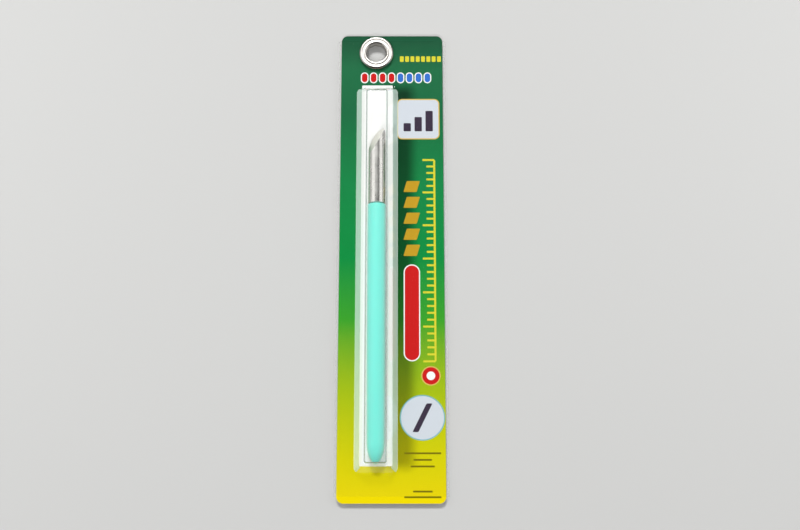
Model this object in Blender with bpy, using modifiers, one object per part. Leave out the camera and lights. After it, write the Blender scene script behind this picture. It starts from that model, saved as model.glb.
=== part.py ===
"""A hand scraper on its hanging card.

The tool is a round steel bar with a hollow-ground slanted face, whose arc-shaped edge scrapes, in a plastic
handle. It lies loose in the long dome of a clear slide blister. The blister's sides are folded round a printed
card, and a metal eyelet clamps both and makes the hole that the pack hangs by.

The pack lies on its back. +X is to the right, +Y runs from the handle's nose to the hanging hole and +Z is up.
The origin is under the middle of the pack, on the surface that it lies on. Lengths are in metres.
"""

import math

import bmesh
import bpy
from mathutils import Matrix, Vector

# Fits
SEAT_GAP = 0.0003  # air left between two pieces that touch
CUT_OVERRUN = 0.004  # how far a cutter runs past what it cuts
MERGE_DISTANCE = 0.00001  # points of a turned shape that meet on its axis

# Steel bar
BAR_DIAMETER = 0.0077
BAR_EXPOSED_LENGTH = 0.0364  # from the handle's mouth to the tip
BAR_END_FLAT_DIAMETER = 0.0046  # flat left in the middle of the rounded front end
BAR_END_ROUNDING = 0.0027  # length of that rounding along the bar
TANG_DIAMETER = 0.005  # the bar is turned down to this inside the handle
TANG_LENGTH = 0.055
TANG_CHAMFER = 0.0005
FACE_ANGLE = math.radians(28)  # between the ground face and the bar's axis
FACE_ROLL = math.radians(33)  # how far the ground face is turned up from pointing left
FACE_POINT_TRIM = 0.003  # length of the sharp point that the rounded end takes away
GRINDING_WHEEL_RADIUS = 0.02  # the face is hollow by this radius across its width

# Handle
HANDLE_LENGTH = 0.1151
HANDLE_DIAMETER = 0.0084
HANDLE_REAR_DIAMETER = 0.0079  # where the nose begins
HANDLE_PARALLEL_LENGTH = 0.066  # from the mouth to where the taper begins
HANDLE_MOUTH_ROUNDING = 0.0005
NOSE_LENGTH = 0.008
NOSE_POWER = 1.6  # 2 would make the nose half an ellipse, and less makes it more pointed

# Clear slide blister
SHEET_THICKNESS = 0.0004
SHEET_END_MARGIN = 0.003  # bare card past each end of the sheet
RAIL_STAND_OUT = 0.00125  # how far each folded rail stands outside the card
RAIL_STRIP_WIDTH = 0.005  # flat strip behind the card
DOME_HEAD_ROOM = 0.001  # air above the handle
DOME_SIDE_ROOM = 0.0005  # how much wider than the handle the flat top is, on each side
DOME_DRAFT_RUN = 0.0047  # how far each wall leans in from base to top
DOME_TIP_ROOM = 0.019  # from the tip to the end wall, at the height of the bar's axis
DOME_NOSE_ROOM = 0.002  # from the nose to the end wall, at the same height
DOME_BASE_CORNER = 0.0028
DOME_CROWN_CORNER = 0.001
DOME_BASE_FILLET = 0.0008
DOME_CROWN_FILLET = 0.0008

# Card
CARD_THICKNESS = 0.0006
CARD_CORNER_RADIUS = 0.003
CARD_LEFT_MARGIN = 0.0076  # card to the left of the dome
CARD_RIGHT_PANEL = 0.0211  # card to the right of the dome
CARD_HEADER = 0.0261  # card above the dome
CARD_FOOTER = 0.0124  # card below the dome

# Eyelet
EYELET_HOLE_DIAMETER = 0.009
EYELET_FLANGE_DIAMETER = 0.016
EYELET_METAL = 0.0003
EYELET_CROWN_HEIGHT = 0.0009  # of the raised flange above its rim
EYELET_EDGE_MARGIN = 0.001  # card left above the flange
EYELET_SIDE_SHIFT = -0.0006  # from the dome's middle
EYELET_BACK_LIP_WIDTH = 0.0014
EYELET_BACK_LIP_ROUNDING = 0.0004
EYELET_FOOT_GAP = 0.0001  # keeps the rolled lip off the surface that the pack lies on
WASHER_DIAMETER = 0.0148
WASHER_THICKNESS = 0.0003
WASHER_EDGE_CHAMFER = 0.0001

# The flange's section: (share of its width out from the bore, share of its crown height).
FLANGE_SECTION_SHARES = (
    (0.0, 0.0),
    (0.04, 0.55),
    (0.14, 0.9),
    (0.27, 1.0),
    (0.4, 0.86),
    (0.52, 0.8),
    (0.66, 0.92),
    (0.8, 0.95),
    (0.91, 0.75),
    (0.98, 0.38),
    (1.0, 0.0),
)

# Smoothness
ROUND_STEPS = 48
EYELET_STEPS = 48
WHEEL_STEPS = 180
CORNER_STEPS = 6
FILLET_STEPS = 4
FOLD_STEPS = 8
NOSE_STEPS = 12
END_STEPS = 6
LIP_STEPS = 4

# Worked out from the sizes above
BAR_RADIUS = BAR_DIAMETER / 2
TANG_RADIUS = TANG_DIAMETER / 2
BORE_RADIUS = TANG_RADIUS + SEAT_GAP
HANDLE_RADIUS = HANDLE_DIAMETER / 2
TOOL_LENGTH = HANDLE_LENGTH + BAR_EXPOSED_LENGTH

EYELET_BORE_RADIUS = EYELET_HOLE_DIAMETER / 2
EYELET_CLEAR_RADIUS = EYELET_BORE_RADIUS + EYELET_METAL + SEAT_GAP
FLANGE_RADIUS = EYELET_FLANGE_DIAMETER / 2

# Heights, from the surface that the pack lies on: the folded rails hold the card, and the eyelet's back fits
# between the card and that surface.
EYELET_BACK_HEIGHT = EYELET_FOOT_GAP + EYELET_METAL + SEAT_GAP + WASHER_THICKNESS + SEAT_GAP
CARD_BOTTOM = max(EYELET_BACK_HEIGHT, SHEET_THICKNESS + SEAT_GAP)
CARD_TOP = CARD_BOTTOM + CARD_THICKNESS
SHEET_BOTTOM = CARD_TOP + SEAT_GAP
SHEET_TOP = SHEET_BOTTOM + SHEET_THICKNESS
RAIL_RADIUS = SHEET_TOP / 2
TOOL_AXIS_HEIGHT = CARD_TOP + SEAT_GAP + HANDLE_RADIUS
DOME_TOP = TOOL_AXIS_HEIGHT + HANDLE_RADIUS + DOME_HEAD_ROOM + SHEET_THICKNESS
DOME_HEIGHT = DOME_TOP - SHEET_TOP

# Plan sizes: the dome is drawn round the tool, and the card round the dome.
DOME_WALL_ANGLE = math.atan2(DOME_HEIGHT, DOME_DRAFT_RUN)
DOME_LEAN_AT_AXIS = (TOOL_AXIS_HEIGHT - SHEET_TOP) / math.tan(DOME_WALL_ANGLE)
DOME_END_REACH = DOME_LEAN_AT_AXIS + SHEET_THICKNESS / math.sin(DOME_WALL_ANGLE)
DOME_WIDTH = HANDLE_DIAMETER + 2 * (DOME_SIDE_ROOM + DOME_DRAFT_RUN)
DOME_LENGTH = TOOL_LENGTH + DOME_TIP_ROOM + DOME_NOSE_ROOM + 2 * DOME_END_REACH
CARD_WIDTH = CARD_LEFT_MARGIN + DOME_WIDTH + CARD_RIGHT_PANEL
CARD_LENGTH = CARD_FOOTER + DOME_LENGTH + CARD_HEADER
SHEET_LENGTH = CARD_LENGTH - 2 * SHEET_END_MARGIN
RAIL_FOLD_X = CARD_WIDTH / 2 + RAIL_STAND_OUT - RAIL_RADIUS

# Places, from the middle of the card
DOME_X = -CARD_WIDTH / 2 + CARD_LEFT_MARGIN + DOME_WIDTH / 2
DOME_Y = -CARD_LENGTH / 2 + CARD_FOOTER + DOME_LENGTH / 2
TOOL_NOSE_Y = DOME_Y - DOME_LENGTH / 2 + DOME_END_REACH + DOME_NOSE_ROOM
EYELET_X = DOME_X + EYELET_SIDE_SHIFT
EYELET_Y = CARD_LENGTH / 2 - EYELET_EDGE_MARGIN - FLANGE_RADIUS


def clear_scene():
    for item in list(bpy.data.objects):
        bpy.data.objects.remove(item, do_unlink=True)


def new_collection(name):
    collection = bpy.data.collections.new(name)
    bpy.context.scene.collection.children.link(collection)
    return collection


def new_material(name, colour, roughness, metallic=0.0, transmission=0.0):
    material = bpy.data.materials.new(name)
    material.use_nodes = True
    shader = material.node_tree.nodes["Principled BSDF"]
    shader.inputs["Base Color"].default_value = (*colour, 1.0)
    shader.inputs["Roughness"].default_value = roughness
    shader.inputs["Metallic"].default_value = metallic
    shader.inputs["Transmission Weight"].default_value = transmission
    material.diffuse_color = (*colour, 1.0 - transmission / 2)
    return material


def place(data, name, collection, material=None, parent=None):
    """An object that shows this mesh or curve, carried by its parent."""
    item = bpy.data.objects.new(name, data)
    collection.objects.link(item)
    item.parent = parent
    if material:
        data.materials.append(material)
    return item


def arc(centre, radius, start, end, steps):
    """Points on an arc, given as (x, y) pairs, from one angle to another."""
    angles = [start + (end - start) * i / steps for i in range(steps + 1)]
    return [(centre[0] + radius * math.cos(a), centre[1] + radius * math.sin(a)) for a in angles]


def rounded_rectangle(width, length, radius, steps):
    """Points of a rounded rectangle about the origin, counter-clockwise."""
    x = width / 2 - radius
    y = length / 2 - radius
    points = []
    for quarter, centre in enumerate(((x, y), (-x, y), (-x, -y), (x, -y))):
        start = quarter * math.pi / 2
        points += arc(centre, radius, start, start + math.pi / 2, steps)
    return points


def circle(centre, radius, steps):
    return arc(centre, radius, 0, 2 * math.pi, steps)[:-1]


def turned(name, profile, steps, collection, material, parent=None):
    """A profile of (radius, height) points turned about the object's Z axis."""
    mesh = bpy.data.meshes.new(name)
    edges = [(i, i + 1) for i in range(len(profile) - 1)]
    mesh.from_pydata([(radius, 0, height) for radius, height in profile], edges, [])
    item = place(mesh, name, collection, material, parent)
    screw = item.modifiers.new("Turn", "SCREW")
    screw.axis = "Z"
    screw.steps = steps
    screw.render_steps = steps
    screw.use_merge_vertices = True
    screw.merge_threshold = MERGE_DISTANCE
    screw.use_smooth_shade = True
    return item


def give_thickness(item, thickness):
    """Makes a closed wall of an open surface, on the side away from its normals."""
    solidify = item.modifiers.new("Wall", "SOLIDIFY")
    solidify.thickness = thickness
    solidify.offset = -1
    solidify.use_even_offset = True
    solidify.use_quality_normals = True


def cut(item, cutter):
    boolean = item.modifiers.new("Cut", "BOOLEAN")
    boolean.operation = "DIFFERENCE"
    boolean.solver = "EXACT"
    boolean.object = cutter


def build_card(collection):
    """Printed card with rounded corners and a clear hole for the eyelet's barrel."""
    curve = bpy.data.curves.new("backing_card", "CURVE")
    curve.dimensions = "2D"
    curve.fill_mode = "BOTH"
    curve.extrude = CARD_THICKNESS / 2
    outline = rounded_rectangle(CARD_WIDTH, CARD_LENGTH, CARD_CORNER_RADIUS, CORNER_STEPS)
    hole = circle((EYELET_X, EYELET_Y), EYELET_CLEAR_RADIUS, ROUND_STEPS)
    for points in (outline, hole):
        spline = curve.splines.new("POLY")
        spline.points.add(len(points) - 1)
        for point, (x, y) in zip(spline.points, points):
            point.co = (x, y, 0, 1)
        spline.use_cyclic_u = True
    material = new_material("Printed card", (0.12, 0.42, 0.13), 0.35)
    card = place(curve, "backing_card", collection, material)
    card.location.z = (CARD_BOTTOM + CARD_TOP) / 2


def fillet(corner, turn_start, turn_end, radius, steps):
    """Arc that rounds a corner between two directions, given as angles, in a flat section."""
    turn = turn_end - turn_start
    side = math.copysign(math.pi / 2, turn)
    reach = radius * math.tan(abs(turn) / 2)
    start = Vector(corner) - reach * Vector((math.cos(turn_start), math.sin(turn_start)))
    centre = start + radius * Vector((math.cos(turn_start + side), math.sin(turn_start + side)))
    return arc(centre, radius, turn_start - side, turn_end - side, steps)


def dome_section():
    """(inset, height) points up one wall of the dome, from the flat sheet to the flat top."""
    base = fillet((0, 0), 0, DOME_WALL_ANGLE, DOME_BASE_FILLET, FILLET_STEPS)
    crown_corner = (DOME_DRAFT_RUN, DOME_HEIGHT)
    crown = fillet(crown_corner, DOME_WALL_ANGLE, 0, DOME_CROWN_FILLET, FILLET_STEPS)
    return base + crown


def dome_ring(inset, height):
    """Outline of the dome at one height. Its corners tighten from the base to the top."""
    share = min(max(inset / DOME_DRAFT_RUN, 0), 1)
    radius = DOME_BASE_CORNER + (DOME_CROWN_CORNER - DOME_BASE_CORNER) * share
    outline = rounded_rectangle(DOME_WIDTH - 2 * inset, DOME_LENGTH - 2 * inset, radius, CORNER_STEPS)
    return [(DOME_X + x, DOME_Y + y, SHEET_TOP + height) for x, y in outline]


def closed_loop(shape, points):
    verts = [shape.verts.new(point) for point in points]
    edges = [shape.edges.new((a, b)) for a, b in zip(verts, verts[1:] + verts[:1])]
    return verts, edges


def fold_rail(shape, edge, side):
    """Spins one long edge of the sheet half a turn round the card's edge, then runs it back behind the card."""
    centre = Vector((side * RAIL_FOLD_X, 0, RAIL_RADIUS))
    spun = bmesh.ops.spin(
        shape, geom=[edge, *edge.verts], cent=centre, axis=(0, side, 0), angle=math.pi, steps=FOLD_STEPS
    )
    last = [item for item in spun["geom_last"] if isinstance(item, bmesh.types.BMEdge)]
    strip = bmesh.ops.extrude_edge_only(shape, edges=last)["geom"]
    ends = [item for item in strip if isinstance(item, bmesh.types.BMVert)]
    bmesh.ops.translate(shape, verts=ends, vec=(-side * RAIL_STRIP_WIDTH, 0, 0))


def build_blister(collection):
    """One clear sheet: a flat face, a long dome drawn up from it and both long sides folded round the card."""
    shape = bmesh.new()
    half_length = SHEET_LENGTH / 2
    corners = [
        (-RAIL_FOLD_X, -half_length, SHEET_TOP),
        (RAIL_FOLD_X, -half_length, SHEET_TOP),
        (RAIL_FOLD_X, half_length, SHEET_TOP),
        (-RAIL_FOLD_X, half_length, SHEET_TOP),
    ]
    _, sheet_edges = closed_loop(shape, corners)
    hole = [(x, y, SHEET_TOP) for x, y in circle((EYELET_X, EYELET_Y), EYELET_CLEAR_RADIUS, ROUND_STEPS)]
    _, hole_edges = closed_loop(shape, hole)
    rings = [closed_loop(shape, dome_ring(inset, height)) for inset, height in dome_section()]
    _, base_edges = rings[0]
    bmesh.ops.triangle_fill(shape, use_beauty=True, edges=sheet_edges + hole_edges + base_edges)
    for (lower, _), (upper, _) in zip(rings, rings[1:]):
        for i in range(len(lower)):
            j = (i + 1) % len(lower)
            shape.faces.new((lower[i], lower[j], upper[j], upper[i]))
    crown_face = shape.faces.new(rings[-1][0])
    fold_rail(shape, sheet_edges[1], 1)
    fold_rail(shape, sheet_edges[3], -1)
    bmesh.ops.recalc_face_normals(shape, faces=shape.faces)
    crown_face.normal_update()
    if crown_face.normal.z < 0:
        bmesh.ops.reverse_faces(shape, faces=shape.faces)
    mesh = bpy.data.meshes.new("slide_blister")
    shape.to_mesh(mesh)
    shape.free()
    mesh.shade_smooth()
    mesh.set_sharp_from_angle(angle=math.radians(40))
    material = new_material("Clear plastic", (0.95, 0.97, 0.96), 0.05, transmission=1.0)
    give_thickness(place(mesh, "slide_blister", collection, material), SHEET_THICKNESS)


def build_eyelet(collection, material):
    """Thin metal turned from the rolled lip at the back, up the bore and out over the raised flange."""
    rim_height = SHEET_TOP + SEAT_GAP
    lip_radius = EYELET_BORE_RADIUS + EYELET_BACK_LIP_WIDTH
    turn_centre = (
        EYELET_BORE_RADIUS + EYELET_BACK_LIP_ROUNDING,
        EYELET_FOOT_GAP + EYELET_BACK_LIP_ROUNDING,
    )
    profile = [(lip_radius, EYELET_FOOT_GAP)]
    profile += arc(turn_centre, EYELET_BACK_LIP_ROUNDING, -math.pi / 2, -math.pi, LIP_STEPS)
    flange_width = FLANGE_RADIUS - EYELET_BORE_RADIUS
    for width_share, height_share in FLANGE_SECTION_SHARES:
        radius = EYELET_BORE_RADIUS + flange_width * width_share
        profile.append((radius, rim_height + EYELET_CROWN_HEIGHT * height_share))
    eyelet = turned("eyelet", profile, EYELET_STEPS, collection, material)
    eyelet.location = (EYELET_X, EYELET_Y, 0)
    give_thickness(eyelet, EYELET_METAL)


def build_washer(collection, material):
    """Flat ring between the card's back and the eyelet's rolled lip."""
    top = CARD_BOTTOM - SEAT_GAP
    bottom = top - WASHER_THICKNESS
    outer = WASHER_DIAMETER / 2
    inner = EYELET_CLEAR_RADIUS
    profile = [
        (inner, top),
        (outer - WASHER_EDGE_CHAMFER, top),
        (outer, top - WASHER_EDGE_CHAMFER),
        (outer, bottom + WASHER_EDGE_CHAMFER),
        (outer - WASHER_EDGE_CHAMFER, bottom),
        (inner, bottom),
        (inner, top),
    ]
    washer = turned("eyelet_washer", profile, EYELET_STEPS, collection, material)
    washer.location = (EYELET_X, EYELET_Y, 0)


def bar_profile():
    """Side of the steel bar from its front end to the end of its tang, as heights above the handle's nose."""
    flat_radius = BAR_END_FLAT_DIAMETER / 2
    profile = [(0, TOOL_LENGTH)]
    for i in range(END_STEPS + 1):
        angle = math.pi / 2 * i / END_STEPS
        radius = flat_radius + (BAR_RADIUS - flat_radius) * math.sin(angle)
        profile.append((radius, TOOL_LENGTH - BAR_END_ROUNDING * (1 - math.cos(angle))))
    shoulder = HANDLE_LENGTH + SEAT_GAP
    tang_end = shoulder - TANG_LENGTH
    return profile + [
        (BAR_RADIUS, shoulder),
        (TANG_RADIUS, shoulder),
        (TANG_RADIUS, tang_end + TANG_CHAMFER),
        (TANG_RADIUS - TANG_CHAMFER, tang_end),
        (0, tang_end),
    ]


def build_grinding_wheel(cutters, tool):
    """The wheel that grinds the slanted face. It lies along the face, so the face is hollow across its width.

    The tool's own axes are used here: Z runs to the tip, and Y points down.
    """
    outward = Vector((-math.cos(FACE_ROLL), -math.sin(FACE_ROLL), 0))
    normal = outward * math.cos(FACE_ANGLE) + Vector((0, 0, 1)) * math.sin(FACE_ANGLE)
    along = Vector((0, 0, 1)) * math.cos(FACE_ANGLE) - outward * math.sin(FACE_ANGLE)
    point_height = TOOL_LENGTH + FACE_POINT_TRIM
    face_centre = Vector((0, 0, point_height - BAR_RADIUS / math.tan(FACE_ANGLE)))
    to_wheel_axis = math.sqrt(GRINDING_WHEEL_RADIUS**2 - BAR_RADIUS**2)
    face_length = BAR_DIAMETER / math.sin(FACE_ANGLE)
    shape = bmesh.new()
    bmesh.ops.create_cone(
        shape,
        cap_ends=True,
        segments=WHEEL_STEPS,
        radius1=GRINDING_WHEEL_RADIUS,
        radius2=GRINDING_WHEEL_RADIUS,
        depth=face_length + 2 * CUT_OVERRUN,
    )
    mesh = bpy.data.meshes.new("grinding_wheel")
    shape.to_mesh(mesh)
    shape.free()
    wheel = place(mesh, "grinding_wheel", cutters, parent=tool)
    wheel.hide_render = True
    wheel.display_type = "WIRE"
    turn = Matrix((normal, along.cross(normal), along)).transposed()
    wheel.matrix_local = Matrix.Translation(face_centre + normal * to_wheel_axis) @ turn.to_4x4()
    return wheel


def build_blade(collection, cutters, tool):
    material = new_material("Polished steel", (0.62, 0.61, 0.59), 0.18, metallic=1.0)
    blade = turned("blade", bar_profile(), ROUND_STEPS, collection, material, tool)
    cut(blade, build_grinding_wheel(cutters, tool))


def handle_profile():
    """From the bottom of the tang's bore, up it, over the mouth and down the outside to the nose."""
    bore_end = HANDLE_LENGTH - TANG_LENGTH
    rear_radius = HANDLE_REAR_DIAMETER / 2
    mouth_centre = (HANDLE_RADIUS - HANDLE_MOUTH_ROUNDING, HANDLE_LENGTH - HANDLE_MOUTH_ROUNDING)
    profile = [(0, bore_end), (BORE_RADIUS, bore_end), (BORE_RADIUS, HANDLE_LENGTH)]
    profile += arc(mouth_centre, HANDLE_MOUTH_ROUNDING, math.pi / 2, 0, LIP_STEPS)
    profile.append((HANDLE_RADIUS, HANDLE_LENGTH - HANDLE_PARALLEL_LENGTH))
    for i in range(NOSE_STEPS + 1):
        back = math.sin(math.pi / 2 * i / NOSE_STEPS)
        radius = rear_radius * math.sqrt(max(1 - back**NOSE_POWER, 0))
        profile.append((radius, NOSE_LENGTH * (1 - back)))
    return profile


def build_handle(collection, tool):
    material = new_material("Turquoise plastic", (0.25, 0.8, 0.68), 0.35)
    turned("handle_grip", handle_profile(), ROUND_STEPS, collection, material, tool)


def build():
    clear_scene()
    parts = new_collection("Carded scraper")
    cutters = new_collection("Cutters")
    nickel = new_material("Nickel plate", (0.72, 0.7, 0.66), 0.22, metallic=1.0)
    tool = place(None, "tool_axis", parts)
    tool.location = (DOME_X, TOOL_NOSE_Y, TOOL_AXIS_HEIGHT)
    tool.rotation_euler = (-math.pi / 2, 0, 0)
    build_card(parts)
    build_blister(parts)
    build_eyelet(parts, nickel)
    build_washer(parts, nickel)
    build_blade(parts, cutters, tool)
    build_handle(parts, tool)


build()
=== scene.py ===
# %% [markdown]
# # A carded hand scraper
# The object is a pen-sized scraper in its shop pack. A frame of plain solids, packed beforehand, fixes where each
# piece is and how the tool slides in its dome. This script gives every piece its fine shape and its finish, then
# sets up a floor, lights and a camera. Every length is in metres, in the frame's own axes: +X is to the right on
# the card, +Y runs from the handle's nose to the hanging hole, and +Z comes out of the card's front.

import math

import bmesh
import bpy
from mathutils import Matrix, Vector


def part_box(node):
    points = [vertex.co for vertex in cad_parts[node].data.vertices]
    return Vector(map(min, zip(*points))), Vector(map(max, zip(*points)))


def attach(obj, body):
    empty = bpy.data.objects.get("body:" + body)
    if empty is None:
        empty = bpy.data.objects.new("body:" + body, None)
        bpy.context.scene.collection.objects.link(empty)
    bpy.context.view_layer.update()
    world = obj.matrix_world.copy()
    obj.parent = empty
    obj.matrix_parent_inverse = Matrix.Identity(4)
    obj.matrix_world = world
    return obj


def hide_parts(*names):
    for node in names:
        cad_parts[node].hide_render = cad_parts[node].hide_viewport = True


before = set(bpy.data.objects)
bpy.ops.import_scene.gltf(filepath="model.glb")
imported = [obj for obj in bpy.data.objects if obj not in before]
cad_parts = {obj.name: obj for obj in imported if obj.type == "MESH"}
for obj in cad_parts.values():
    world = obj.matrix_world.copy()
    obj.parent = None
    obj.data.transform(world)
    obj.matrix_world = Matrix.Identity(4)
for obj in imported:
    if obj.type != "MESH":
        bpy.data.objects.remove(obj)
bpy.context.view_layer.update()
print("nodes:", sorted(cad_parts))

# %% [markdown]
# ## Read the places from the frame
# Nothing here is placed by eye. The corners of each solid's box give the card's edges and heights, the eyelet's
# middle, the line that the tool lies on and the height of the clear sheet.

# %% Measure the solids
card_low, card_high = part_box("backing_card")
sheet_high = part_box("slide_blister")[1]
eyelet_low, eyelet_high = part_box("eyelet")
washer_low, washer_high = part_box("eyelet_washer")
bar_low, bar_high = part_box("blade")
grip_low, grip_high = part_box("handle_grip")

CARD_LENGTH = card_high.y - card_low.y
TOOL_X = (grip_low.x + grip_high.x) / 2
TOOL_Z = (grip_low.z + grip_high.z) / 2
GRIP_RADIUS = (grip_high.x - grip_low.x) / 2
BAR_RADIUS = (bar_high.x - bar_low.x) / 2
EYELET_X = (eyelet_low.x + eyelet_high.x) / 2
EYELET_Y = (eyelet_low.y + eyelet_high.y) / 2
FLANGE_RADIUS = (eyelet_high.x - eyelet_low.x) / 2
BAR_EXPOSED_LENGTH = 0.0364  # from the handle's mouth to the bar's end, before its face is ground
TIP_Y = grip_high.y + BAR_EXPOSED_LENGTH
print("tool axis at x, z in mm:", round(TOOL_X * 1000, 2), round(TOOL_Z * 1000, 2))
print("eyelet at x, y in mm:", round(EYELET_X * 1000, 2), round(EYELET_Y * 1000, 2))

# %% [markdown]
# ## Small helpers for working in edit mode
# Blender's operators act on whatever is selected, so each step first clears the selection and then selects
# exactly what it needs. These helpers do that by a test, such as "the edges at this height".

# %% Selection helpers
HAIR = 0.00001  # near enough to count as the same place
ROUND_SIDES = 96  # sides of everything round


def leave_edit_mode():
    if bpy.context.object and bpy.context.object.mode != "OBJECT":
        bpy.ops.object.mode_set(mode="OBJECT")


def choose(piece=None):
    """Selects one object and nothing else, or nothing at all."""
    leave_edit_mode()
    bpy.ops.object.select_all(action="DESELECT")
    if piece:
        piece.select_set(True)
        bpy.context.view_layer.objects.active = piece


def select(kind, test):
    """In edit mode, selects only the vertices, edges or faces that pass the test."""
    bpy.ops.mesh.select_mode(type=kind)
    select_all("DESELECT")
    mesh = bpy.context.edit_object.data
    shape = bmesh.from_edit_mesh(mesh)
    for item in {"VERT": shape.verts, "EDGE": shape.edges, "FACE": shape.faces}[kind]:
        if test(item):
            item.select_set(True)
    shape.select_flush_mode()
    bmesh.update_edit_mesh(mesh)


def select_all(action="SELECT"):
    bpy.ops.mesh.select_all(action=action)


def move(x=0, y=0, z=0):
    bpy.ops.transform.translate(value=(x, y, z))


def extrude(x=0, y=0, z=0):
    bpy.ops.mesh.extrude_region_move(TRANSFORM_OT_translate={"value": (x, y, z)})


def turn_outwards():
    select_all()
    bpy.ops.mesh.normals_make_consistent(inside=False)


def apply_modifier(piece, kind, **settings):
    """Adds a modifier with these settings and applies it."""
    choose(piece)
    modifier = piece.modifiers.new(kind.title(), kind)
    for name, value in settings.items():
        setattr(modifier, name, value)
    bpy.ops.object.modifier_apply(modifier=modifier.name)


def thicken(piece, thickness):
    """Turns the piece so that its highest face looks up, and gives it a thickness on its other side."""
    leave_edit_mode()
    top = max(piece.data.polygons, key=lambda face: face.center.z)
    if top.normal.z < 0:
        piece.data.flip_normals()
    apply_modifier(piece, "SOLIDIFY", thickness=thickness, offset=-1, use_even_offset=True, use_quality_normals=True)


def start_circle(name, radius):
    """Adds a circle with nothing else selected, names it and opens it in edit mode."""
    choose()
    bpy.ops.mesh.primitive_circle_add(vertices=ROUND_SIDES, radius=radius)
    piece = bpy.context.object
    piece.name = name
    piece.data.name = name
    bpy.ops.object.mode_set(mode="EDIT")
    bpy.ops.mesh.select_mode(type="VERT")
    select_all()
    return piece


def finish_piece(piece, body, node, smooth_degrees):
    """Puts the piece's place into its mesh, smooths it and lets it stand for its solid in the frame."""
    choose(piece)
    bpy.ops.object.transform_apply(location=True, rotation=True, scale=True)
    bpy.ops.object.shade_smooth_by_angle(angle=math.radians(smooth_degrees))
    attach(piece, body)
    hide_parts(node)
    print(piece.name, "has", len(piece.data.polygons), "faces and rides on", body)


# %% [markdown]
# ## Turned pieces
# The eyelet, its ring, the steel bar and the handle are all round. Each starts as a circle. The circle is extruded
# along the axis and scaled, ring after ring, as one would do by hand with E and S. The rings are pairs of radius
# and height, and arcs are worked out by a formula, so a rounding stays a true rounding.

# %% Rings, arcs and closed ends
def arc(centre_radius, centre_height, size, start, end, steps):
    """Rings along an arc of this size, from one angle to another. Angle 0 points outwards and 90 degrees up."""
    angles = [math.radians(start + (end - start) * i / steps) for i in range(steps + 1)]
    return [(centre_radius + size * math.cos(a), centre_height + size * math.sin(a)) for a in angles]


def stack_rings(name, rings):
    """A circle extruded and scaled from ring to ring up the Z axis. It stays open at both ends, in edit mode."""
    radius, height = rings[0]
    piece = start_circle(name, radius)
    move(z=height)
    for next_radius, next_height in rings[1:]:
        extrude(z=next_height - height)
        growth = next_radius / radius
        bpy.ops.transform.resize(value=(growth, growth, 1), center_override=(0, 0, 0))
        radius, height = next_radius, next_height
    return piece


def close_end(height, rim_height):
    """Closes the ring at rim_height with a point on the axis."""
    select("VERT", lambda vert: vert.is_boundary and abs(vert.co.z - rim_height) < HAIR)
    extrude(z=height - rim_height)
    bpy.ops.mesh.merge(type="CENTER")


def lay_along_y(piece):
    """Turns a piece that was built up the Z axis, so that its height runs along +Y, on the tool's axis."""
    choose(piece)
    piece.rotation_euler = (-math.pi / 2, 0, 0)
    piece.location = (TOOL_X, 0, TOOL_Z)
    bpy.ops.object.transform_apply(location=True, rotation=True, scale=True)


# %% [markdown]
# ## Building materials in nodes
# A few helpers keep the node trees readable. add_node makes a node, sets it up and wires it in one line. The helpers
# after it do that for the nodes used most, and each returns the socket that comes out, so a finish reads like a sum.
# new_group starts a node group with named sockets. A group holds an effect that several finishes share, and it puts
# out only masks, heights and roughness. The shader itself always stays in the material.

# %% Node helpers
def feed(tree, socket, value):
    """Gives an input a value, or the socket that feeds it."""
    if isinstance(value, bpy.types.NodeSocket):
        tree.links.new(value, socket)
    else:
        socket.default_value = value


def add_node(tree, kind, inputs=None, **settings):
    """Makes a node with these settings and feeds its inputs."""
    node = tree.nodes.new("ShaderNode" + kind)
    for name, value in settings.items():
        setattr(node, name, value)
    for socket, value in (inputs or {}).items():
        feed(tree, node.inputs[socket], value)
    return node


def add_math(tree, operation, *values):
    return add_node(tree, "Math", dict(enumerate(values)), operation=operation).outputs[0]


def add_vector_math(tree, operation, *values):
    """Returns the number that LENGTH and DOT_PRODUCT give, and the vector that the others give."""
    node = add_node(tree, "VectorMath", dict(enumerate(values)), operation=operation)
    return node.outputs["Value" if operation in ("LENGTH", "DOT_PRODUCT") else "Vector"]


def split(tree, place):
    """The parts of a place along X, Y and Z."""
    return tuple(add_node(tree, "SeparateXYZ", {0: place}).outputs)


def join(tree, x, y=0.0):
    return add_node(tree, "CombineXYZ", {"X": x, "Y": y}).outputs[0]


def remap(tree, value, source, target=(0.0, 1.0), **settings):
    """Turns one range of values into another. What lies outside the first ends at the second one's limits."""
    names = ("Value", "From Min", "From Max", "To Min", "To Max")
    node = add_node(tree, "MapRange", dict(zip(names, (value, *source, *target))), **settings)
    return node.outputs["Result"]


def add_noise(tree, place, scale, detail, roughness=0.5):
    inputs = {"Vector": place, "Scale": scale, "Detail": detail, "Roughness": roughness}
    return add_node(tree, "TexNoise", inputs).outputs["Fac"]


def blend(tree, share, low, high):
    """A colour between two. Each is three numbers, or the socket that feeds it."""
    ends = [end if isinstance(end, bpy.types.NodeSocket) else (*end, 1) for end in (low, high)]
    return add_node(tree, "Mix", {0: share, 6: ends[0], 7: ends[1]}, data_type="RGBA").outputs[2]


def new_group(name, inputs, outputs):
    """A node group whose sockets are given as {name: type}. Returns the tree, what it is given and what it makes."""
    tree = bpy.data.node_groups.new(name, "ShaderNodeTree")
    for in_out, sockets in (("INPUT", inputs), ("OUTPUT", outputs)):
        for socket, kind in sockets.items():
            tree.interface.new_socket(socket, in_out=in_out, socket_type=kind)
    return tree, tree.nodes.new("NodeGroupInput").outputs, tree.nodes.new("NodeGroupOutput").inputs


def use_group(tree, group, **inputs):
    """Places a group in a tree and returns what it makes. Underscores in the names stand for spaces."""
    node = add_node(tree, "Group", node_tree=group)
    for name, value in inputs.items():
        feed(tree, node.inputs[name.replace("_", " ")], value)
    return node.outputs[0]


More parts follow.
